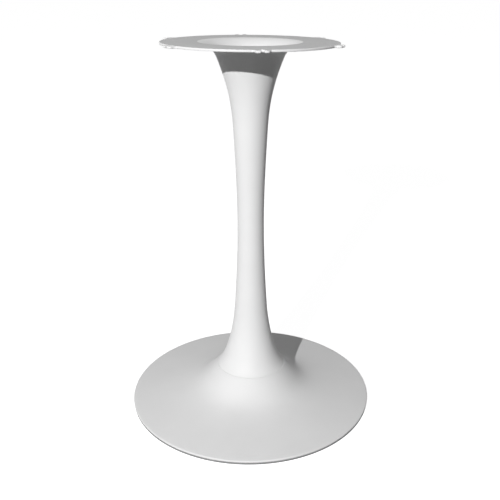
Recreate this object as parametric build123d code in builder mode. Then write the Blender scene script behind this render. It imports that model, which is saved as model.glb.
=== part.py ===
# Waisted pedestal table base: a round dished foot, a hollow column that flares at both ends,
# and a round top flange with open lugs for the screws of a table top.
# Millimetres, +Z up. The origin is on the floor, on the axis. One lug points along -Y.
import math
import os

from build123d import *

# overall
total_height = 720.0

# floor ring: a soft strip under the rim that carries the base
ring_height = 3.8
ring_width = 11.0
ring_inset = 1.2
ring_edge = 0.8

# base casting: a lean is measured from the vertical, in degrees, and a handle sets how full a curve is
base_radius = 247.5
base_wall = 4.4
rim_lean = -83.0
rim_handle = 140.0
rim_seat_width = 15.0
seam_height = 72.0
collar_radius = 70.0
collar_lean = -42.8
collar_handle = 65.0
hub_thickness = 10.0
boss_radius = 24.0
boss_height = 4.0
spigot_radius = 54.0
spigot_wall = 7.0
spigot_height = 8.0
spigot_chamfer = 1.5
cast_fillet = 5.0

# column casting
column_wall = 4.0
seam_step = 0.5
foot_handle = 39.0
foot_ring_height = 10.0
spigot_clearance = 0.2
lower_shank_radius = 33.0
lower_shank_rise = 127.5
lower_shank_lean = -4.0
lower_shank_handle = 14.0
waist_radius = 25.7
waist_height = 385.0
upper_shank_radius = 31.9
upper_shank_drop = 156.0
upper_shank_lean = 3.2
upper_shank_handle = 42.6
mouth_radius = 93.5
mouth_lean = 22.0
mouth_handle = 61.0
mouth_curl = 35.0
web_thickness = 9.0

# top flange and its lugs
flange_radius = 160.0
flange_thickness = 4.0
flange_edge = 0.5
lug_count = 6
lug_width = 24.0
lug_reach = 12.0
lug_corner = 5.0
lug_root = 4.0
slot_width = 6.6
slot_depth = 15.0

# tie rod with its nuts and washers
rod_radius = 6.0
rod_chamfer = 1.2
rod_tail = 6.0
thread_clearance = 0.05
bolt_hole_radius = 6.75
nut_flats = 18.0
nut_height = 10.8
nut_corner_angle = 30.0
nut_bore_chamfer = 0.8
washer_radius = 18.5
washer_thickness = 3.0
washer_edge = 0.4

# levels and radii that follow from the sizes above
nose_radius = base_wall / 2
seat_inner = base_radius - rim_seat_width
hub_bottom = seam_height - hub_thickness
boss_bottom = hub_bottom - boss_height
foot_ring_top = seam_height + foot_ring_height
flange_bottom = total_height - flange_thickness
plate_joint = flange_radius - slot_depth
lug_tip = flange_radius + lug_reach
slot_end = lug_tip - slot_depth + slot_width / 2


def direction(lean):
    """Unit step up along a face that leans that far from the vertical."""
    return math.sin(math.radians(lean)), math.cos(math.radians(lean))


def inward(point, lean, inset):
    """The point moved square to the face, into the metal."""
    dr, dz = direction(lean)
    return point[0] - inset * dz, point[1] + inset * dr


def flare(low, high, inset=0.0):
    """Control points of the curve between two stations (radius, height, lean, handle), or inset from it."""
    stretch = inset * 4 / 3 * math.tan(math.radians(high[2] - low[2]) / 4)
    start = inward(low[:2], low[2], inset)
    end = inward(high[:2], high[2], inset)
    first = low[3] + stretch
    last = high[3] + stretch
    low_r, low_z = direction(low[2])
    high_r, high_z = direction(high[2])
    return [
        start,
        (start[0] + first * low_r, start[1] + first * low_z),
        (end[0] - last * high_r, end[1] - last * high_z),
        end,
    ]


# stations of the dish's upper face, from the rim up to the collar
nose_centre = (base_radius - nose_radius, ring_height + nose_radius)
rim_station = (*inward(nose_centre, rim_lean, -nose_radius), rim_lean, rim_handle)
collar_station = (collar_radius, seam_height, collar_lean, collar_handle)

# stations of the column's outer face, from the seam up to the curl of the mouth
foot_point = (collar_radius - seam_step, seam_height)
lower_point = (lower_shank_radius, seam_height + lower_shank_rise)
waist_point = (waist_radius, waist_height)
upper_point = (upper_shank_radius, flange_bottom - upper_shank_drop)
curl_centre = (mouth_radius, flange_bottom - mouth_curl)
curl_point = inward(curl_centre, mouth_lean, mouth_curl)
lower_third = math.dist(lower_point, waist_point) / 3
upper_third = math.dist(waist_point, upper_point) / 3
foot_stretch = [
    (*foot_point, collar_lean, foot_handle),
    (*lower_point, lower_shank_lean, lower_shank_handle),
]
lower_stretch = [
    (*lower_point, lower_shank_lean, lower_third),
    (*waist_point, 0.0, lower_third),
]
upper_stretch = [
    (*waist_point, 0.0, upper_third),
    (*upper_point, upper_shank_lean, upper_third),
]
mouth_stretch = [
    (*upper_point, upper_shank_lean, upper_shank_handle),
    (*curl_point, mouth_lean, mouth_handle),
]

# the web that the rod pulls on is the floor of the mouth
web_edge, web_top = inward(upper_point, upper_shank_lean, column_wall)
web_bottom = web_top - web_thickness


# base casting: a turned shell with a seat under its rim, a hub plate with a boss, and a spigot
with BuildSketch(Plane.XZ) as dish_hollow:
    with BuildLine():
        underside = Bezier(*flare(rim_station, collar_station, base_wall))
        collar_end = underside @ 1
        rim_end = underside @ 0
        Polyline(collar_end, (0, collar_end.Y), (0, 0), (rim_end.X, 0), rim_end)
    make_face()
    Rectangle(seat_inner, hub_bottom, align=(Align.MIN, Align.MIN), mode=Mode.INTERSECT)
    hub_corner = dish_hollow.vertices().group_by(Axis.Y)[-1].sort_by(Axis.X)[-1]
    fillet(hub_corner, cast_fillet)

with BuildPart() as base:
    with BuildSketch(Plane.XZ):
        with BuildLine():
            upper_face = Bezier(*flare(rim_station, collar_station))
            nose_bottom = (nose_centre[0], ring_height)
            TangentArc(upper_face @ 0, nose_bottom, tangent=-(upper_face % 0))
            Polyline(nose_bottom, (0, ring_height), (0, seam_height), upper_face @ 1)
        make_face()
        add(dish_hollow.sketch, mode=Mode.SUBTRACT)
    revolve(axis=Axis.Z)
    with BuildSketch(Plane.XY.offset(boss_bottom)):
        Circle(boss_radius)
    extrude(amount=boss_height)
    with BuildSketch(Plane.XY.offset(seam_height)):
        Circle(spigot_radius)
        Circle(spigot_radius - spigot_wall, mode=Mode.SUBTRACT)
    extrude(amount=spigot_height)
    chamfer(base.edges().group_by(Axis.Z)[-1], spigot_chamfer)
    Hole(bolt_hole_radius)


# column casting: the hollow below the web, wide enough at the foot for the spigot
with BuildSketch(Plane.XZ) as column_hollow:
    with BuildLine():
        foot_inside = Bezier(*flare(*foot_stretch, column_wall))
        Bezier(*flare(*lower_stretch, column_wall))
        web_inside = Bezier(*flare(*upper_stretch, column_wall))
        web_end = web_inside @ 1
        foot_end = foot_inside @ 0
        Polyline(web_end, (0, web_end.Y), (0, foot_end.Y), foot_end)
    make_face()
    with Locations((0, foot_ring_top)):
        Rectangle(
            collar_radius,
            web_bottom - foot_ring_top,
            align=(Align.MIN, Align.MIN),
            mode=Mode.INTERSECT,
        )
    web_corner = column_hollow.vertices().group_by(Axis.Y)[-1].sort_by(Axis.X)[-1]
    fillet(web_corner, cast_fillet)
    with Locations((0, seam_height)):
        Rectangle(
            spigot_radius + spigot_clearance,
            foot_ring_height,
            align=(Align.MIN, Align.MIN),
        )

# the flange's outline: lugs with rounded tips and roots, each with a slot open to the outside
with BuildSketch(Plane.XY.offset(flange_bottom)) as flange_outline:
    Circle(flange_radius)
    with PolarLocations(lug_tip, lug_count, start_angle=-90):
        Rectangle(2 * lug_reach, lug_width, align=(Align.MAX, Align.CENTER))
    corners = flange_outline.vertices().sort_by(SortBy.DISTANCE)
    fillet(corners[2 * lug_count :], lug_corner)
    corners = flange_outline.vertices().sort_by(SortBy.DISTANCE)
    fillet(corners[: 2 * lug_count], lug_root)
    with PolarLocations(slot_end, lug_count, start_angle=-90):
        Circle(slot_width / 2, mode=Mode.SUBTRACT)
        Rectangle(
            2 * slot_depth,
            slot_width,
            align=(Align.MIN, Align.CENTER),
            mode=Mode.SUBTRACT,
        )
    Circle(plate_joint, mode=Mode.SUBTRACT)

with BuildPart() as column:
    extrude(flange_outline.sketch, amount=flange_thickness)
    flange_faces = column.faces().filter_by(Axis.Z)
    chamfer([face.outer_wire().edges() for face in flange_faces], flange_edge)
    with BuildSketch(Plane.XZ):
        with BuildLine():
            foot_outside = Bezier(*flare(*foot_stretch))
            Bezier(*flare(*lower_stretch))
            Bezier(*flare(*upper_stretch))
            mouth_outside = Bezier(*flare(*mouth_stretch))
            curl_outside = (mouth_radius, flange_bottom)
            curl_inside = (mouth_radius, total_height)
            TangentArc(mouth_outside @ 1, curl_outside, tangent=mouth_outside % 1)
            Polyline(
                curl_outside,
                (plate_joint, flange_bottom),
                (plate_joint, total_height),
                curl_inside,
            )
            mouth_inside = Bezier(*flare(*mouth_stretch, column_wall))
            TangentArc(mouth_inside @ 1, curl_inside, tangent=mouth_inside % 1)
            Polyline(mouth_inside @ 0, (0, web_top), (0, seam_height), foot_outside @ 0)
        outline = make_face()
        floor_corner = outline.vertices().sort_by_distance((web_edge, web_top))[0]
        fillet(floor_corner, cast_fillet)
        add(column_hollow.sketch, mode=Mode.SUBTRACT)
    revolve(axis=Axis.Z)
    Hole(bolt_hole_radius)


# floor ring: its outer corner at the floor is eased
with BuildPart() as floor_ring:
    with BuildSketch():
        Circle(base_radius - ring_inset)
        Circle(base_radius - ring_inset - ring_width, mode=Mode.SUBTRACT)
    extrude(amount=ring_height)
    chamfer(floor_ring.edges().group_by(Axis.Z)[0], ring_edge)


def washer_at(bottom):
    with BuildPart() as washer:
        with BuildSketch(Plane.XY.offset(bottom)):
            Circle(washer_radius)
            Circle(bolt_hole_radius, mode=Mode.SUBTRACT)
        extrude(amount=washer_thickness)
        rims = washer.edges().filter_by(GeomType.CIRCLE).group_by(SortBy.RADIUS)[-1]
        chamfer(rims, washer_edge)
    return washer


def nut_at(bottom):
    across_corners = nut_flats / math.cos(math.radians(30))
    cone_fall = (across_corners - nut_flats) / 2 * math.tan(math.radians(nut_corner_angle))
    top = bottom + nut_height
    with BuildPart() as nut:
        with BuildSketch(Plane.XY.offset(bottom)):
            RegularPolygon(nut_flats / 2, 6, major_radius=False)
            Circle(rod_radius + thread_clearance, mode=Mode.SUBTRACT)
        extrude(amount=nut_height)
        bore_ends = nut.edges().filter_by(GeomType.CIRCLE)
        chamfer(bore_ends, nut_bore_chamfer)
        # both ends are turned to a cone that takes off the six corners
        with BuildSketch(Plane.XZ):
            Polygon(
                (0, bottom),
                (nut_flats / 2, bottom),
                (across_corners / 2, bottom + cone_fall),
                (across_corners / 2, top - cone_fall),
                (nut_flats / 2, top),
                (0, top),
                align=None,
            )
        revolve(axis=Axis.Z, mode=Mode.INTERSECT)
    return nut


# tie rod: pulls the web of the column down on the hub of the base
lower_washer = boss_bottom - washer_thickness
lower_nut = lower_washer - nut_height
upper_washer = web_top
upper_nut = upper_washer + washer_thickness
rod_bottom = lower_nut - rod_tail
rod_top = upper_nut + nut_height + rod_tail

with BuildPart() as tie_rod:
    with BuildSketch(Plane.XY.offset(rod_bottom)):
        Circle(rod_radius)
    extrude(amount=rod_top - rod_bottom)
    chamfer(tie_rod.edges().filter_by(GeomType.CIRCLE), rod_chamfer)


pieces = {
    "floor_ring": floor_ring,
    "base": base,
    "column": column,
    "tie_rod": tie_rod,
    "bottom_washer": washer_at(lower_washer),
    "bottom_nut": nut_at(lower_nut),
    "top_washer": washer_at(upper_washer),
    "top_nut": nut_at(upper_nut),
}
os.makedirs("parts", exist_ok=True)
for name, piece in pieces.items():
    piece.part.label = name
    export_step(piece.part, f"parts/{name}.step")
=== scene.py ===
# Waisted pedestal table base: white powder-coated castings, a grey floor ring and a zinc-plated tie rod
import math

import bmesh
import bpy
from mathutils import Matrix, Vector
from mathutils.geometry import interpolate_bezier


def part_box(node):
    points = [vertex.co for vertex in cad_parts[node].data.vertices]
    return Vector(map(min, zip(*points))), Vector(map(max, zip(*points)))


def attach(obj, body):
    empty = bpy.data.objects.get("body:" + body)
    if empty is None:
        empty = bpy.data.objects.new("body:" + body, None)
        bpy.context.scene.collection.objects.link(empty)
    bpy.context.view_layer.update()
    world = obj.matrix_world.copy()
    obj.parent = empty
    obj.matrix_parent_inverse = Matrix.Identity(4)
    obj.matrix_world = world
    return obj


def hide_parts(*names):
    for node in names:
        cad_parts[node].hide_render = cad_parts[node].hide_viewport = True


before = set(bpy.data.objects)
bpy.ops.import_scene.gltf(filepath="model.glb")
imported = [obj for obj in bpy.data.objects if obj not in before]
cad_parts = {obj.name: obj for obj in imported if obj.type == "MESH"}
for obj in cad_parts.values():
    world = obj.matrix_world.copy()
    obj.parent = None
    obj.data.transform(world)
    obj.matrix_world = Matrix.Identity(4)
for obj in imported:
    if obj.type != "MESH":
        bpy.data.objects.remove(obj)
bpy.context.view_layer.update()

mm = 0.001
turnSteps = 288  # facets in a full turn, a multiple of twice the six lugs and of the sectors
sectorDoublings = 4  # a spun sector is doubled so many times to fill the turn
# points closer than these, in metres, are welded into one
weldCopies = 0.005 * mm
weldPiece = 0.002 * mm
weldCorners = 0.02 * mm
weldJoint = 0.01 * mm
# how far a point may be off a radius or a level, in mm, and off an angle, in radians
radiusSlack = 0.01
levelSlack = 0.001
angleSlack = 1e-5
upAxis = (0.0, 0.0, 1.0)
middle = (0.0, 0.0, 0.0)


# helpers for outlines: points are (radius, height) in mm, leans are degrees from the vertical

def leanStep(lean):
    return math.sin(math.radians(lean)), math.cos(math.radians(lean))


def intoMetal(point, lean, depth):
    outward, upward = leanStep(lean)
    return point[0] - depth * upward, point[1] + depth * outward


def roundHandle(radius, turn):
    return radius * 4 / 3 * math.tan(math.radians(turn) / 4)


def flareCurve(low, high, depth=0.0, points=12):
    # a station is (radius, height, lean, handle), and depth moves the curve into the metal
    stretch = depth * 4 / 3 * math.tan(math.radians(high[2] - low[2]) / 4)
    start = Vector(intoMetal(low[:2], low[2], depth))
    end = Vector(intoMetal(high[:2], high[2], depth))
    startHandle = start + Vector(leanStep(low[2])) * (low[3] + stretch)
    endHandle = end - Vector(leanStep(high[2])) * (high[3] + stretch)
    return [tuple(p) for p in interpolate_bezier(start, startHandle, endHandle, end, points)]


def closedOutline(bm, outline, segments=5):
    # outline entries are (radius, height) or (radius, height, rounding)
    verts = []
    corners = []
    for radius, height, *rounding in outline:
        vert = bm.verts.new((radius * mm, 0.0, height * mm))
        verts.append(vert)
        if rounding:
            corners.append((vert, rounding[0] * mm))
    bm.faces.new(verts)
    for vert, rounding in corners:
        bmesh.ops.bevel(
            bm,
            geom=[vert],
            offset=rounding,
            affect="VERTICES",
            segments=segments,
            profile=0.5,
            material=-1,
        )


def wholeGeometry(bm):
    return list(bm.verts) + list(bm.edges) + list(bm.faces)


def doubleUp(bm, times, turn=0.0, lift=0.0):
    # each copy lies next to all that is there, so the shape grows twofold every time
    for doubling in range(times):
        copied = bmesh.ops.duplicate(bm, geom=wholeGeometry(bm))["geom"]
        verts = [item for item in copied if isinstance(item, bmesh.types.BMVert)]
        share = 2**doubling
        bmesh.ops.rotate(bm, verts=verts, cent=middle, matrix=Matrix.Rotation(turn * share, 3, "Z"))
        bmesh.ops.translate(bm, verts=verts, vec=(0.0, 0.0, lift * share))
    bmesh.ops.remove_doubles(bm, verts=bm.verts, dist=weldCopies)


def spinOutline(outline):
    # one sector of the turn is spun and then doubled until the turn is full
    bm = bmesh.new()
    closedOutline(bm, outline)
    edges = list(bm.edges)
    bmesh.ops.delete(bm, geom=list(bm.faces), context="FACES_ONLY")
    sectorCount = 2**sectorDoublings
    sector = math.tau / sectorCount
    bmesh.ops.spin(
        bm,
        geom=list(bm.verts) + edges,
        cent=middle,
        axis=upAxis,
        angle=sector,
        steps=turnSteps // sectorCount,
    )
    doubleUp(bm, sectorDoublings, turn=sector)
    return bm


def smoothFaces(bm):
    for face in bm.faces:
        face.smooth = True


def finishPiece(bm, name, materials, nodes, sharpAngle=38.0):
    bmesh.ops.remove_doubles(bm, verts=bm.verts, dist=weldPiece)
    bmesh.ops.recalc_face_normals(bm, faces=bm.faces)
    for edge in bm.edges:
        edge.smooth = edge.calc_face_angle(0.0) < math.radians(sharpAngle)
    mesh = bpy.data.meshes.new(name)
    bm.to_mesh(mesh)
    bm.free()
    piece = bpy.data.objects.new(name, mesh)
    bpy.context.scene.collection.objects.link(piece)
    for material in materials:
        mesh.materials.append(material)
    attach(piece, "root")
    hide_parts(*nodes)
    print(name, len(mesh.polygons), "faces")


# helpers for finishes

def linearColour(hexCode):
    values = [int(hexCode[i : i + 2], 16) / 255 for i in (0, 2, 4)]
    linear = [v / 12.92 if v <= 0.04045 else ((v + 0.055) / 1.055) ** 2.4 for v in values]
    return (*linear, 1.0)


def addNode(tree, kind, inputs=None, **settings):
    node = tree.nodes.new(kind)
    for key, value in settings.items():
        setattr(node, key, value)
    for key, value in (inputs or {}).items():
        if isinstance(value, bpy.types.NodeSocket):
            tree.links.new(value, node.inputs[key])
        else:
            node.inputs[key].default_value = value
    return node


def newMaterial(name):
    material = bpy.data.materials.new(name)
    material.use_nodes = True
    material.node_tree.nodes.clear()
    return material, material.node_tree


def perMetre(spacing):
    return 1.0 / (spacing * mm)  # texture scale for a pattern whose features are that many mm apart


# satin powder coat on a casting: cured powder leaves a fine orange peel that softens each highlight
coatFinish = {
    "light": "E9E9E9",
    "deep": "E2E2E2",
    "toneSpacing": 70.0,
    "peelSpacing": 2.4,
    "peelHeight": 0.012,
    "castSpacing": 38.0,
    "castHeight": 0.05,
    "roughLow": 0.5,
    "roughHigh": 0.6,
    "specular": 0.3,
    "diffuseRough": 0.15,
}


def makePowderCoat(name, finish):
    material, tree = newMaterial(name)
    place = addNode(tree, "ShaderNodeTexCoord").outputs["Object"]
    tone = addNode(
        tree,
        "ShaderNodeTexNoise",
        {"Vector": place, "Scale": perMetre(finish["toneSpacing"]), "Detail": 3.0},
    )
    peel = addNode(
        tree,
        "ShaderNodeTexNoise",
        {"Vector": place, "Scale": perMetre(finish["peelSpacing"]), "Detail": 2.0, "Roughness": 0.45},
    )
    cast = addNode(
        tree,
        "ShaderNodeTexNoise",
        {"Vector": place, "Scale": perMetre(finish["castSpacing"]), "Detail": 1.0},
    )
    colour = addNode(
        tree,
        "ShaderNodeMix",
        {
            "Factor": tone.outputs["Fac"],
            "A": linearColour(finish["deep"]),
            "B": linearColour(finish["light"]),
        },
        data_type="RGBA",
    )
    rough = addNode(
        tree,
        "ShaderNodeMapRange",
        {"Value": tone.outputs["Fac"], "To Min": finish["roughLow"], "To Max": finish["roughHigh"]},
    )
    castBump = addNode(
        tree,
        "ShaderNodeBump",
        {"Height": cast.outputs["Fac"], "Distance": finish["castHeight"] * mm, "Strength": 1.0},
    )
    peelBump = addNode(
        tree,
        "ShaderNodeBump",
        {
            "Height": peel.outputs["Fac"],
            "Distance": finish["peelHeight"] * mm,
            "Strength": 1.0,
            "Normal": castBump.outputs["Normal"],
        },
    )
    shader = addNode(
        tree,
        "ShaderNodeBsdfPrincipled",
        {
            "Base Color": colour.outputs["Result"],
            "Roughness": rough.outputs["Result"],
            "IOR": 1.5,
            "Specular IOR Level": finish["specular"],
            "Diffuse Roughness": finish["diffuseRough"],
            "Normal": peelBump.outputs["Normal"],
        },
    )
    addNode(tree, "ShaderNodeOutputMaterial", {"Surface": shader.outputs["BSDF"]})
    return material


whitePowderCoat = makePowderCoat("whitePowderCoat", coatFinish)

# painted shade: the dish takes a greyer copy of the white coat, so it renders darker below the seam and
# the seam shows as a faint step
dishShadeFinish = {**coatFinish, "light": "E6E6E6", "deep": "DFDFDF"}
dishCoatPaintedShade = makePowderCoat("whitePowderCoatPaintedShade", dishShadeFinish)

# the mounting face is dressed flat before coating and takes a duller coat; its greyer colour is painted
# shade, for the grazing light on this flat top
faceShadeFinish = {
    **coatFinish,
    "light": "CFCFCF",
    "deep": "C4C4C4",
    "castHeight": 0.02,
    "roughLow": 0.55,
    "roughHigh": 0.65,
    "diffuseRough": 0.0,
}
faceCoatPaintedShade = makePowderCoat("powderCoatFacePaintedShade", faceShadeFinish)


# moulded grey rubber: matt, with a fine pebble left by the mould and a little dust in it
rubberFinish = {
    "body": "797A7B",
    "dust": "888888",
    "dustSpacing": 9.0,
    "pebbleSpacing": 0.8,
    "pebbleHeight": 0.03,
    "rough": 0.7,
}


def makeRubber(name, finish):
    material, tree = newMaterial(name)
    place = addNode(tree, "ShaderNodeTexCoord").outputs["Object"]
    dust = addNode(
        tree,
        "ShaderNodeTexNoise",
        {"Vector": place, "Scale": perMetre(finish["dustSpacing"]), "Detail": 4.0},
    )
    pebble = addNode(
        tree,
        "ShaderNodeTexVoronoi",
        {"Vector": place, "Scale": perMetre(finish["pebbleSpacing"])},
    )
    colour = addNode(
        tree,
        "ShaderNodeMix",
        {
            "Factor": dust.outputs["Fac"],
            "A": linearColour(finish["body"]),
            "B": linearColour(finish["dust"]),
        },
        data_type="RGBA",
    )
    bump = addNode(
        tree,
        "ShaderNodeBump",
        {"Height": pebble.outputs["Distance"], "Distance": finish["pebbleHeight"] * mm, "Strength": 1.0},
    )
    shader = addNode(
        tree,
        "ShaderNodeBsdfPrincipled",
        {
            "Base Color": colour.outputs["Result"],
            "Roughness": finish["rough"],
            "IOR": 1.52,
            "Normal": bump.outputs["Normal"],
        },
    )
    addNode(tree, "ShaderNodeOutputMaterial", {"Surface": shader.outputs["BSDF"]})
    return material


greyRubber = makeRubber("mouldedGreyRubber", rubberFinish)


# bright zinc plate on rolled and turned steel: a metal with a crystalline bloom and fine tool marks
zincFinish = {
    "bright": "C9CBCD",
    "dull": "A9ACAF",
    "bloomSpacing": 2.5,
    "markSpacing": 0.35,
    "markHeight": 0.004,
    "roughLow": 0.24,
    "roughHigh": 0.42,
}


def makeZincPlate(name, finish):
    material, tree = newMaterial(name)
    place = addNode(tree, "ShaderNodeTexCoord").outputs["Object"]
    bloom = addNode(
        tree,
        "ShaderNodeTexNoise",
        {"Vector": place, "Scale": perMetre(finish["bloomSpacing"]), "Detail": 5.0, "Roughness": 0.6},
    )
    marks = addNode(
        tree,
        "ShaderNodeTexWave",
        {"Vector": place, "Scale": perMetre(finish["markSpacing"]) / math.tau, "Distortion": 1.5},
        wave_type="RINGS",
        rings_direction="Z",
    )
    colour = addNode(
        tree,
        "ShaderNodeMix",
        {
            "Factor": bloom.outputs["Fac"],
            "A": linearColour(finish["dull"]),
            "B": linearColour(finish["bright"]),
        },
        data_type="RGBA",
    )
    rough = addNode(
        tree,
        "ShaderNodeMapRange",
        {"Value": bloom.outputs["Fac"], "To Min": finish["roughHigh"], "To Max": finish["roughLow"]},
    )
    bump = addNode(
        tree,
        "ShaderNodeBump",
        {"Height": marks.outputs["Fac"], "Distance": finish["markHeight"] * mm, "Strength": 1.0},
    )
    shader = addNode(
        tree,
        "ShaderNodeBsdfPrincipled",
        {
            "Base Color": colour.outputs["Result"],
            "Metallic": 1.0,
            "Roughness": rough.outputs["Result"],
            "Normal": bump.outputs["Normal"],
        },
    )
    addNode(tree, "ShaderNodeOutputMaterial", {"Surface": shader.outputs["BSDF"]})
    return material


zincPlate = makeZincPlate("brightZincPlate", zincFinish)
print("materials made")


# levels taken from the frame, in mm
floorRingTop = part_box("floor_ring")[1][2] / mm
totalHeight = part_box("column")[1][2] / mm
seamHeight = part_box("column")[0][2] / mm
boltHoleRadius = 6.75
seamEase = 0.8  # rounding that the coat gives the two edges at the seam

# base casting
baseSizes = {
    "wall": 4.4,
    "rimLean": -83.0,
    "rimHandle": 140.0,
    "seatWidth": 15.0,
    "collarRadius": 70.0,
    "collarLean": -42.8,
    "collarHandle": 65.0,
    "hubThickness": 10.0,
    "bossRadius": 24.0,
    "bossHeight": 4.0,
    "spigotRadius": 54.0,
    "spigotWall": 7.0,
    "spigotHeight": 8.0,
    "castFillet": 5.0,
    "filletRoom": 1.0,  # straight left between a fillet and the curve beside it
    "edgeEase": 1.0,
    "seatEase": 0.4,
    "nosePoints": 7,
    "upperPoints": 72,
    "underPoints": 48,
}


def buildBase(sizes):
    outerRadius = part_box("base")[1][0] / mm
    noseRadius = sizes["wall"] / 2
    noseCentre = (outerRadius - noseRadius, floorRingTop + noseRadius)
    rimPoint = intoMetal(noseCentre, sizes["rimLean"], -noseRadius)
    rim = (*rimPoint, sizes["rimLean"], sizes["rimHandle"])
    collar = (sizes["collarRadius"], seamHeight, sizes["collarLean"], sizes["collarHandle"])
    lowHandle = roundHandle(noseRadius, 90.0)
    highHandle = roundHandle(noseRadius, -sizes["rimLean"])
    noseLow = flareCurve(
        (noseCentre[0], floorRingTop, 90.0, lowHandle),
        (outerRadius, noseCentre[1], 0.0, lowHandle),
        points=sizes["nosePoints"],
    )
    noseHigh = flareCurve(
        (outerRadius, noseCentre[1], 0.0, highHandle),
        (*rimPoint, sizes["rimLean"], highHandle),
        points=sizes["nosePoints"],
    )
    upperFace = flareCurve(rim, collar, points=sizes["upperPoints"])
    hubBottom = seamHeight - sizes["hubThickness"]
    bossBottom = hubBottom - sizes["bossHeight"]
    seatInner = outerRadius - sizes["seatWidth"]
    spigotInner = sizes["spigotRadius"] - sizes["spigotWall"]
    spigotTop = seamHeight + sizes["spigotHeight"]
    underside = flareCurve(rim, collar, sizes["wall"], points=sizes["underPoints"])
    filletEnd = hubBottom - sizes["castFillet"] - sizes["filletRoom"]
    seatEnd = seatInner - sizes["filletRoom"]
    under = [p for p in underside if p[0] < seatEnd and p[1] < filletEnd]
    hubEdge = next(p[0] for p in underside if p[1] > hubBottom)
    ease = sizes["edgeEase"]
    outline = [
        *noseLow[:-1],
        *noseHigh[:-1],
        *upperFace[:-1],
        (*upperFace[-1], seamEase),
        (sizes["spigotRadius"], seamHeight),
        (sizes["spigotRadius"], spigotTop, ease),
        (spigotInner, spigotTop, ease),
        (spigotInner, seamHeight),
        (boltHoleRadius, seamHeight, ease),
        (boltHoleRadius, bossBottom, ease),
        (sizes["bossRadius"], bossBottom, ease),
        (sizes["bossRadius"], hubBottom, ease),
        (hubEdge, hubBottom, sizes["castFillet"]),
        *reversed(under),
        (seatInner, under[0][1], sizes["seatEase"]),
        (seatInner, floorRingTop, sizes["seatEase"]),
    ]
    bm = spinOutline(outline)
    smoothFaces(bm)
    # the dish wears the copy of the coat with painted shade
    finishPiece(bm, "dishedBase", [dishCoatPaintedShade], ["base"])


buildBase(baseSizes)

# column casting with its mouth, flange and lugs
columnSizes = {
    "wall": 4.0,
    "footRadius": 69.5,
    "footLean": -42.8,
    "footHandle": 39.0,
    "footRingRadius": 54.2,
    "footRingHeight": 10.0,
    "lowerRadius": 33.0,
    "lowerRise": 127.5,
    "lowerLean": -4.0,
    "lowerHandle": 14.0,
    "waistRadius": 25.7,
    "waistHeight": 385.0,
    "upperRadius": 31.9,
    "upperDrop": 156.0,
    "upperLean": 3.2,
    "upperHandle": 42.6,
    "mouthRadius": 93.5,
    "mouthLean": 22.0,
    "mouthHandle": 61.0,
    "mouthCurl": 35.0,
    "webThickness": 9.0,
    "castFillet": 5.0,
    "filletRoom": 1.0,
    "edgeEase": 0.8,
    "flangeRadius": 160.0,
    "flangeThickness": 4.0,
    "flangeEdge": 1.0,
    "lugCount": 6,
    "lugWidth": 24.0,
    "lugReach": 12.0,
    "lugCorner": 5.0,
    "lugRoot": 4.0,
    "slotWidth": 6.6,
    "slotDepth": 15.0,
    "slotMouthEase": 1.4,
    "slotRound": 0.999,  # of half its width, so that its two round corners do not quite meet
    "rootRoom": 1.25,  # of the root's rounding, kept free of the rim's own points
    "cornerSegments": 8,
    "edgeSegments": 3,
    "outsidePoints": (30, 14, 14, 26),  # one count for each stretch of the outline
    "hollowPoints": (20, 8, 8),
    "curlPoints": 14,
}


def onRadius(face, radius):
    return all(abs(v.co.xy.length / mm - radius) < radiusSlack for v in face.verts)


def isPlate(face):
    # the flange's flat faces are the only ones with more than four corners
    return len(face.verts) > 4


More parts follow.
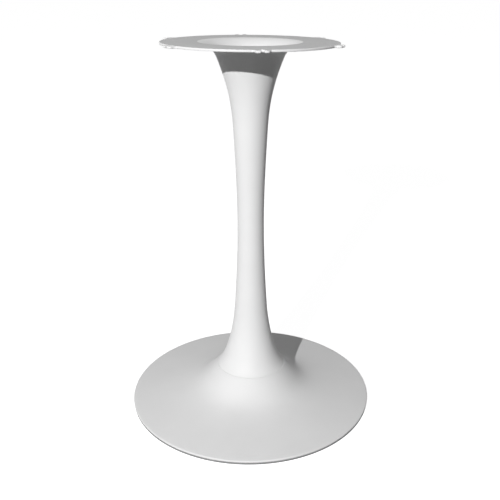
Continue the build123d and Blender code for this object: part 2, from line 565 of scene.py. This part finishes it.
def buildLugBand(sizes, jointRadius, bottom):
    # a sixth of the flange's outer band with one lug, drawn pointing along +X, is copied round
    bm = bmesh.new()
    halfTurn = math.pi / sizes["lugCount"]
    step = math.tau / turnSteps
    arcSteps = round(2 * halfTurn / step)
    halfWidth = sizes["lugWidth"] / 2
    halfSlot = sizes["slotWidth"] / 2
    tip = sizes["flangeRadius"] + sizes["lugReach"]
    rootX = math.sqrt(sizes["flangeRadius"] ** 2 - halfWidth**2)
    rootClear = (halfWidth + sizes["rootRoom"] * sizes["lugRoot"]) / sizes["flangeRadius"]
    outer = []
    for i in range(arcSteps + 1):
        angle = i * step - halfTurn
        if abs(angle) > rootClear:
            rimX = sizes["flangeRadius"] * math.cos(angle)
            rimY = sizes["flangeRadius"] * math.sin(angle)
            outer.append((rimX, rimY, 0.0))
    half = [p for p in outer if p[1] > 0]
    half = [
        (tip - sizes["slotDepth"], halfSlot, halfSlot * sizes["slotRound"]),
        (tip, halfSlot, sizes["slotMouthEase"]),
        (tip, halfWidth, sizes["lugCorner"]),
        (rootX, halfWidth, sizes["lugRoot"]),
        *half,
    ]
    inner = []
    for i in range(arcSteps + 1):
        angle = i * step - halfTurn
        inner.append((jointRadius * math.cos(angle), jointRadius * math.sin(angle), 0.0))
    mirrored = [(x, -y, rounding) for x, y, rounding in half]
    loop = [*reversed(mirrored), *half, *reversed(inner)]
    verts = [bm.verts.new((x * mm, y * mm, bottom * mm)) for x, y, rounding in loop]
    face = bm.faces.new(verts)
    for rounding in sorted({corner[2] for corner in loop if corner[2]}):
        corners = [v for v, corner in zip(verts, loop) if corner[2] == rounding]
        bmesh.ops.bevel(
            bm,
            geom=corners,
            offset=rounding * mm,
            affect="VERTICES",
            segments=sizes["cornerSegments"],
            profile=0.5,
            material=-1,
        )
    bmesh.ops.remove_doubles(bm, verts=bm.verts, dist=weldCorners)
    made = bmesh.ops.extrude_face_region(bm, geom=list(bm.faces))["geom"]
    lifted = [item for item in made if isinstance(item, bmesh.types.BMVert)]
    bmesh.ops.translate(bm, verts=lifted, vec=(0.0, 0.0, sizes["flangeThickness"] * mm))
    # the walls that only part this band from its neighbours and from the plate go
    inside = []
    for face in bm.faces:
        if isPlate(face):
            continue
        onJoint = onRadius(face, jointRadius)
        turns = [abs(math.atan2(v.co.y, v.co.x)) for v in face.verts]
        onSide = all(abs(turn - halfTurn) < angleSlack for turn in turns)
        if onJoint or onSide:
            inside.append(face)
    bmesh.ops.delete(bm, geom=inside, context="FACES")
    rims = [e for e in bm.edges if sorted(isPlate(f) for f in e.link_faces) == [False, True]]
    bmesh.ops.bevel(
        bm,
        geom=rims,
        offset=sizes["flangeEdge"] * mm,
        affect="EDGES",
        segments=sizes["edgeSegments"],
        profile=0.5,
        material=-1,
    )
    bmesh.ops.rotate(bm, verts=bm.verts, cent=middle, matrix=Matrix.Rotation(-math.pi / 2, 3, "Z"))
    lugCount = sizes["lugCount"]
    bmesh.ops.spin(
        bm,
        geom=wholeGeometry(bm),
        cent=middle,
        axis=upAxis,
        angle=math.tau * (lugCount - 1) / lugCount,
        steps=lugCount - 1,
        use_duplicate=True,
    )
    mesh = bpy.data.meshes.new("lugBand")
    bm.to_mesh(mesh)
    bm.free()
    return mesh


def buildColumn(sizes):
    wall = sizes["wall"]
    flangeBottom = totalHeight - sizes["flangeThickness"]
    jointRadius = sizes["flangeRadius"] - sizes["slotDepth"]
    lowerPoint = (sizes["lowerRadius"], seamHeight + sizes["lowerRise"])
    waistPoint = (sizes["waistRadius"], sizes["waistHeight"])
    upperPoint = (sizes["upperRadius"], flangeBottom - sizes["upperDrop"])
    lowerThird = math.dist(lowerPoint, waistPoint) / 3
    upperThird = math.dist(waistPoint, upperPoint) / 3
    curlCentre = (sizes["mouthRadius"], flangeBottom - sizes["mouthCurl"])
    curlPoint = intoMetal(curlCentre, sizes["mouthLean"], sizes["mouthCurl"])
    curlTurn = 90.0 - sizes["mouthLean"]
    outerCurl = roundHandle(sizes["mouthCurl"], curlTurn)
    innerCurl = roundHandle(sizes["mouthCurl"] - wall, curlTurn)
    stretches = [
        (
            (sizes["footRadius"], seamHeight, sizes["footLean"], sizes["footHandle"]),
            (*lowerPoint, sizes["lowerLean"], sizes["lowerHandle"]),
        ),
        (
            (*lowerPoint, sizes["lowerLean"], lowerThird),
            (*waistPoint, 0.0, lowerThird),
        ),
        (
            (*waistPoint, 0.0, upperThird),
            (*upperPoint, sizes["upperLean"], upperThird),
        ),
        (
            (*upperPoint, sizes["upperLean"], sizes["upperHandle"]),
            (*curlPoint, sizes["mouthLean"], sizes["mouthHandle"]),
        ),
    ]
    outside = []
    for (low, high), count in zip(stretches, sizes["outsidePoints"]):
        outside += flareCurve(low, high, points=count)[:-1]
    outside += flareCurve(
        (*curlPoint, sizes["mouthLean"], outerCurl),
        (sizes["mouthRadius"], flangeBottom, 90.0, outerCurl),
        points=sizes["curlPoints"],
    )
    mouthInside = flareCurve(*stretches[-1], wall, points=sizes["outsidePoints"][-1])
    curlInside = flareCurve(
        (*intoMetal(curlPoint, sizes["mouthLean"], wall), sizes["mouthLean"], innerCurl),
        (sizes["mouthRadius"], totalHeight, 90.0, innerCurl),
        points=sizes["curlPoints"],
    )
    webEdge, webTop = mouthInside[0]
    webBottom = webTop - sizes["webThickness"]
    footRingTop = seamHeight + sizes["footRingHeight"]
    hollow = []
    for (low, high), count in zip(stretches, sizes["hollowPoints"]):
        hollow += flareCurve(low, high, wall, points=count)[:-1]
    filletEnd = webBottom - sizes["castFillet"] - sizes["filletRoom"]
    footEnd = footRingTop + sizes["filletRoom"]
    hollow = [p for p in hollow if footEnd < p[1] < filletEnd]
    ease = sizes["edgeEase"]
    floorEnd = webTop + sizes["castFillet"] + sizes["filletRoom"]
    outline = [
        (jointRadius, flangeBottom),
        *reversed(outside[1:]),
        (*outside[0], seamEase),
        (sizes["footRingRadius"], seamHeight, ease),
        (sizes["footRingRadius"], footRingTop),
        *hollow,
        (hollow[-1][0], webBottom, sizes["castFillet"]),
        (boltHoleRadius, webBottom, ease),
        (boltHoleRadius, webTop, ease),
        (webEdge, webTop, sizes["castFillet"]),
        *[p for p in mouthInside[:-1] if p[1] > floorEnd],
        *curlInside,
        (jointRadius, totalHeight),
    ]
    bm = spinOutline(outline)
    walls = [face for face in bm.faces if onRadius(face, jointRadius)]
    bmesh.ops.delete(bm, geom=walls, context="FACES_ONLY")
    band = buildLugBand(sizes, jointRadius, flangeBottom)
    bm.from_mesh(band)
    bpy.data.meshes.remove(band)
    bmesh.ops.remove_doubles(bm, verts=bm.verts, dist=weldJoint)
    topLevel = totalHeight * mm
    for face in bm.faces:
        face.smooth = not isPlate(face)
        onTop = all(abs(v.co.z - topLevel) < levelSlack * mm for v in face.verts)
        face.material_index = 1 if onTop else 0
    # the top faces take the coat whose greyer colour is painted shade
    materials = [whitePowderCoat, faceCoatPaintedShade]
    finishPiece(bm, "waistedColumn", materials, ["column"])


buildColumn(columnSizes)

# floor ring: a soft moulding with eased corners that swells a little under the weight
ringSizes = {"width": 11.0, "swell": 1.0, "footEase": 0.7, "swellEase": 1.2, "topEase": 0.4}


def buildFloorRing(sizes):
    low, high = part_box("floor_ring")
    outerRadius = high[0] / mm
    innerRadius = outerRadius - sizes["width"]
    outline = [
        (innerRadius, low[2] / mm, sizes["footEase"]),
        (outerRadius, low[2] / mm, sizes["footEase"]),
        (outerRadius + sizes["swell"], (low[2] + high[2]) / 2 / mm, sizes["swellEase"]),
        (outerRadius, high[2] / mm, sizes["topEase"]),
        (innerRadius, high[2] / mm, sizes["topEase"]),
    ]
    bm = spinOutline(outline)
    smoothFaces(bm)
    finishPiece(bm, "floorRing", [greyRubber], ["floor_ring"])


buildFloorRing(ringSizes)

# tie rod: a threaded rod, its helix spun from one pitch of the thread
rodSizes = {
    "pitch": 1.75,
    "threadDepth": 1.07,
    "crest": 0.22,
    "root": 0.44,
    "endChamfer": 1.2,
    "stepsPerTurn": 24,
    "spareTurns": 2,  # below the lower end, so that the helix's open start is cut off
    "doublings": 6,
    "sharpAngle": 30.0,
}


def buildTieRod(sizes):
    low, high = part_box("tie_rod")
    rodRadius = high[0]
    rootRadius = rodRadius - sizes["threadDepth"] * mm
    pitch = sizes["pitch"] * mm
    halfCrest = sizes["crest"] * mm / 2
    halfRoot = sizes["root"] * mm / 2
    turns = (high[2] - low[2]) / pitch + sizes["spareTurns"] + 1
    blockTurns = math.ceil(turns / 2 ** sizes["doublings"])
    start = low[2] - sizes["spareTurns"] * pitch
    bm = bmesh.new()
    tooth = [
        (rootRadius, start + halfRoot),
        (rodRadius, start + pitch / 2 - halfCrest),
        (rodRadius, start + pitch / 2 + halfCrest),
        (rootRadius, start + pitch - halfRoot),
        (rootRadius, start + pitch + halfRoot),
    ]
    verts = [bm.verts.new((radius, 0.0, height)) for radius, height in tooth]
    edges = [bm.edges.new(pair) for pair in zip(verts, verts[1:])]
    bmesh.ops.spin(
        bm,
        geom=verts + edges,
        cent=middle,
        axis=upAxis,
        dvec=(0.0, 0.0, pitch / sizes["stepsPerTurn"]),
        angle=math.tau * blockTurns,
        steps=blockTurns * sizes["stepsPerTurn"],
    )
    doubleUp(bm, sizes["doublings"], lift=pitch * blockTurns)
    for level, normal in ((low[2], (0.0, 0.0, -1.0)), (high[2], upAxis)):
        cut = bmesh.ops.bisect_plane(
            bm,
            geom=wholeGeometry(bm),
            plane_co=(0.0, 0.0, level),
            plane_no=normal,
            clear_outer=True,
        )["geom_cut"]
        rim = [item for item in cut if isinstance(item, bmesh.types.BMEdge)]
        bmesh.ops.contextual_create(bm, geom=rim)
    chamfer = sizes["endChamfer"] * mm
    for vert in bm.verts:
        fromEnd = min(vert.co.z - low[2], high[2] - vert.co.z)
        limit = rodRadius - max(0.0, chamfer - fromEnd)
        reach = vert.co.xy.length
        if reach > limit:
            vert.co.x *= limit / reach
            vert.co.y *= limit / reach
    smoothFaces(bm)
    finishPiece(bm, "threadedRod", [zincPlate], ["tie_rod"], sizes["sharpAngle"])


buildTieRod(rodSizes)

# nuts and washers keep their turned shapes and take the zinc plate
for nodeName in ("bottom_nut", "bottom_washer", "top_nut", "top_washer"):
    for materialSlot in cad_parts[nodeName].material_slots:
        materialSlot.material = zincPlate
print("pieces made")

# camera matched to the ellipses of the foot and the flange: lengths in mm and angles in degrees
cameraSizes = {
    "distance": 1260.89,
    "height": 819.41,
    "turn": -6.613,
    "aim": 8.5,
    "pitch": 21.478,
    "roll": 0.554,
    "focalPixels": 683.213,
    "centreX": 271.725,
    "imageWidth": 500,
    "sensorWidth": 36.0,
}


def placeCamera(sizes):
    turn = math.radians(sizes["turn"])
    camera = bpy.data.cameras.new("photoCamera")
    camera.sensor_width = sizes["sensorWidth"]
    camera.lens = sizes["focalPixels"] / sizes["imageWidth"] * sizes["sensorWidth"]
    camera.shift_x = (sizes["imageWidth"] / 2 - sizes["centreX"]) / sizes["imageWidth"]
    holder = bpy.data.objects.new("photoCamera", camera)
    distance = sizes["distance"] * mm
    place = Vector((distance * math.sin(turn), -distance * math.cos(turn), sizes["height"] * mm))
    aim = Matrix.Rotation(math.radians(-sizes["aim"]), 4, "Z")
    tilt = Matrix.Rotation(math.radians(90.0 - sizes["pitch"]), 4, "X")
    roll = Matrix.Rotation(math.radians(sizes["roll"]), 4, "Z")
    holder.matrix_world = Matrix.Translation(place) @ aim @ tilt @ roll
    bpy.context.scene.collection.objects.link(holder)
    bpy.context.scene.camera = holder


placeCamera(cameraSizes)

# light: one small studio lamp at the camera's left and a plain dim sky, a little brighter at the left
lightSettings = {
    "lampTurn": -27.35,  # degrees about the column, from the front
    "lampReach": 3500.0,  # mm out from the column's axis
    "lampHeight": 2063.0,
    "lampRadius": 26.0,
    "lampPower": 590.0,  # W
    "skyLow": 0.11,  # sky at the right
    "skyHigh": 0.24,  # sky at the left
    "floorTone": 0.1,  # the dark floor that the object's underside sees
    "floorSeenTone": 0.5,  # its tone where it is seen, which the object's shadow darkens
    "floorTopUp": 0.91,  # glow that brings the floor up to white where it is seen
    "floorRadius": 60.0,  # m
    "floorSides": 64,
}


def seenRays(tree):
    # 1 for a ray that shows a surface to the camera or in a reflection, 0 for one that only lights
    path = addNode(tree, "ShaderNodeLightPath")
    direct = addNode(
        tree,
        "ShaderNodeMath",
        {0: path.outputs["Is Camera Ray"], 1: path.outputs["Is Glossy Ray"]},
        operation="MAXIMUM",
    )
    seen = addNode(
        tree,
        "ShaderNodeMath",
        {0: direct.outputs[0], 1: path.outputs["Is Transmission Ray"]},
        operation="MAXIMUM",
    )
    return seen.outputs[0]


def lightScene(settings):
    turn = math.radians(settings["lampTurn"])
    reach = settings["lampReach"] * mm
    lamp = bpy.data.lights.new("studioLamp", "POINT")
    lamp.energy = settings["lampPower"]
    lamp.shadow_soft_size = settings["lampRadius"] * mm
    holder = bpy.data.objects.new("studioLamp", lamp)
    holder.location = (math.sin(turn) * reach, -math.cos(turn) * reach, settings["lampHeight"] * mm)
    bpy.context.scene.collection.objects.link(holder)
    world = bpy.data.worlds.new("plainSky")
    world.use_nodes = True
    tree = world.node_tree
    tree.nodes.clear()
    plain = (1.0, 1.0, 1.0, 1.0)
    direction = addNode(tree, "ShaderNodeTexCoord").outputs["Generated"]
    sideways = addNode(tree, "ShaderNodeSeparateXYZ", {"Vector": direction})
    brightness = addNode(
        tree,
        "ShaderNodeMapRange",
        {
            "Value": sideways.outputs["X"],
            "From Min": -1.0,
            "From Max": 1.0,
            "To Min": settings["skyHigh"],
            "To Max": settings["skyLow"],
        },
    )
    sky = addNode(
        tree,
        "ShaderNodeBackground",
        {"Color": plain, "Strength": brightness.outputs["Result"]},
    )
    white = addNode(tree, "ShaderNodeBackground", {"Color": plain, "Strength": 1.0})
    mixed = addNode(
        tree,
        "ShaderNodeMixShader",
        {0: seenRays(tree), 1: sky.outputs[0], 2: white.outputs[0]},
    )
    addNode(tree, "ShaderNodeOutputWorld", {"Surface": mixed.outputs[0]})
    bpy.context.scene.world = world


def layFloor(settings):
    material, tree = newMaterial("plainFloor")
    seen = seenRays(tree)
    topUp = addNode(
        tree,
        "ShaderNodeMath",
        {0: seen, 1: settings["floorTopUp"]},
        operation="MULTIPLY",
    )
    tone = addNode(
        tree,
        "ShaderNodeMapRange",
        {"Value": seen, "To Min": settings["floorTone"], "To Max": settings["floorSeenTone"]},
    )
    matt = addNode(tree, "ShaderNodeBsdfDiffuse", {"Color": tone.outputs["Result"]})
    glow = addNode(tree, "ShaderNodeEmission", {"Strength": topUp.outputs[0]})
    both = addNode(tree, "ShaderNodeAddShader", {0: matt.outputs[0], 1: glow.outputs[0]})
    addNode(tree, "ShaderNodeOutputMaterial", {"Surface": both.outputs[0]})
    bm = bmesh.new()
    bmesh.ops.create_circle(
        bm,
        cap_ends=True,
        segments=settings["floorSides"],
        radius=settings["floorRadius"],
    )
    mesh = bpy.data.meshes.new("studioFloor")
    bm.to_mesh(mesh)
    bm.free()
    mesh.materials.append(material)
    floor = bpy.data.objects.new("studioFloor", mesh)
    bpy.context.scene.collection.objects.link(floor)


lightScene(lightSettings)
layFloor(lightSettings)
bpy.context.scene.view_settings.view_transform = "Standard"
print("camera, light and floor set")
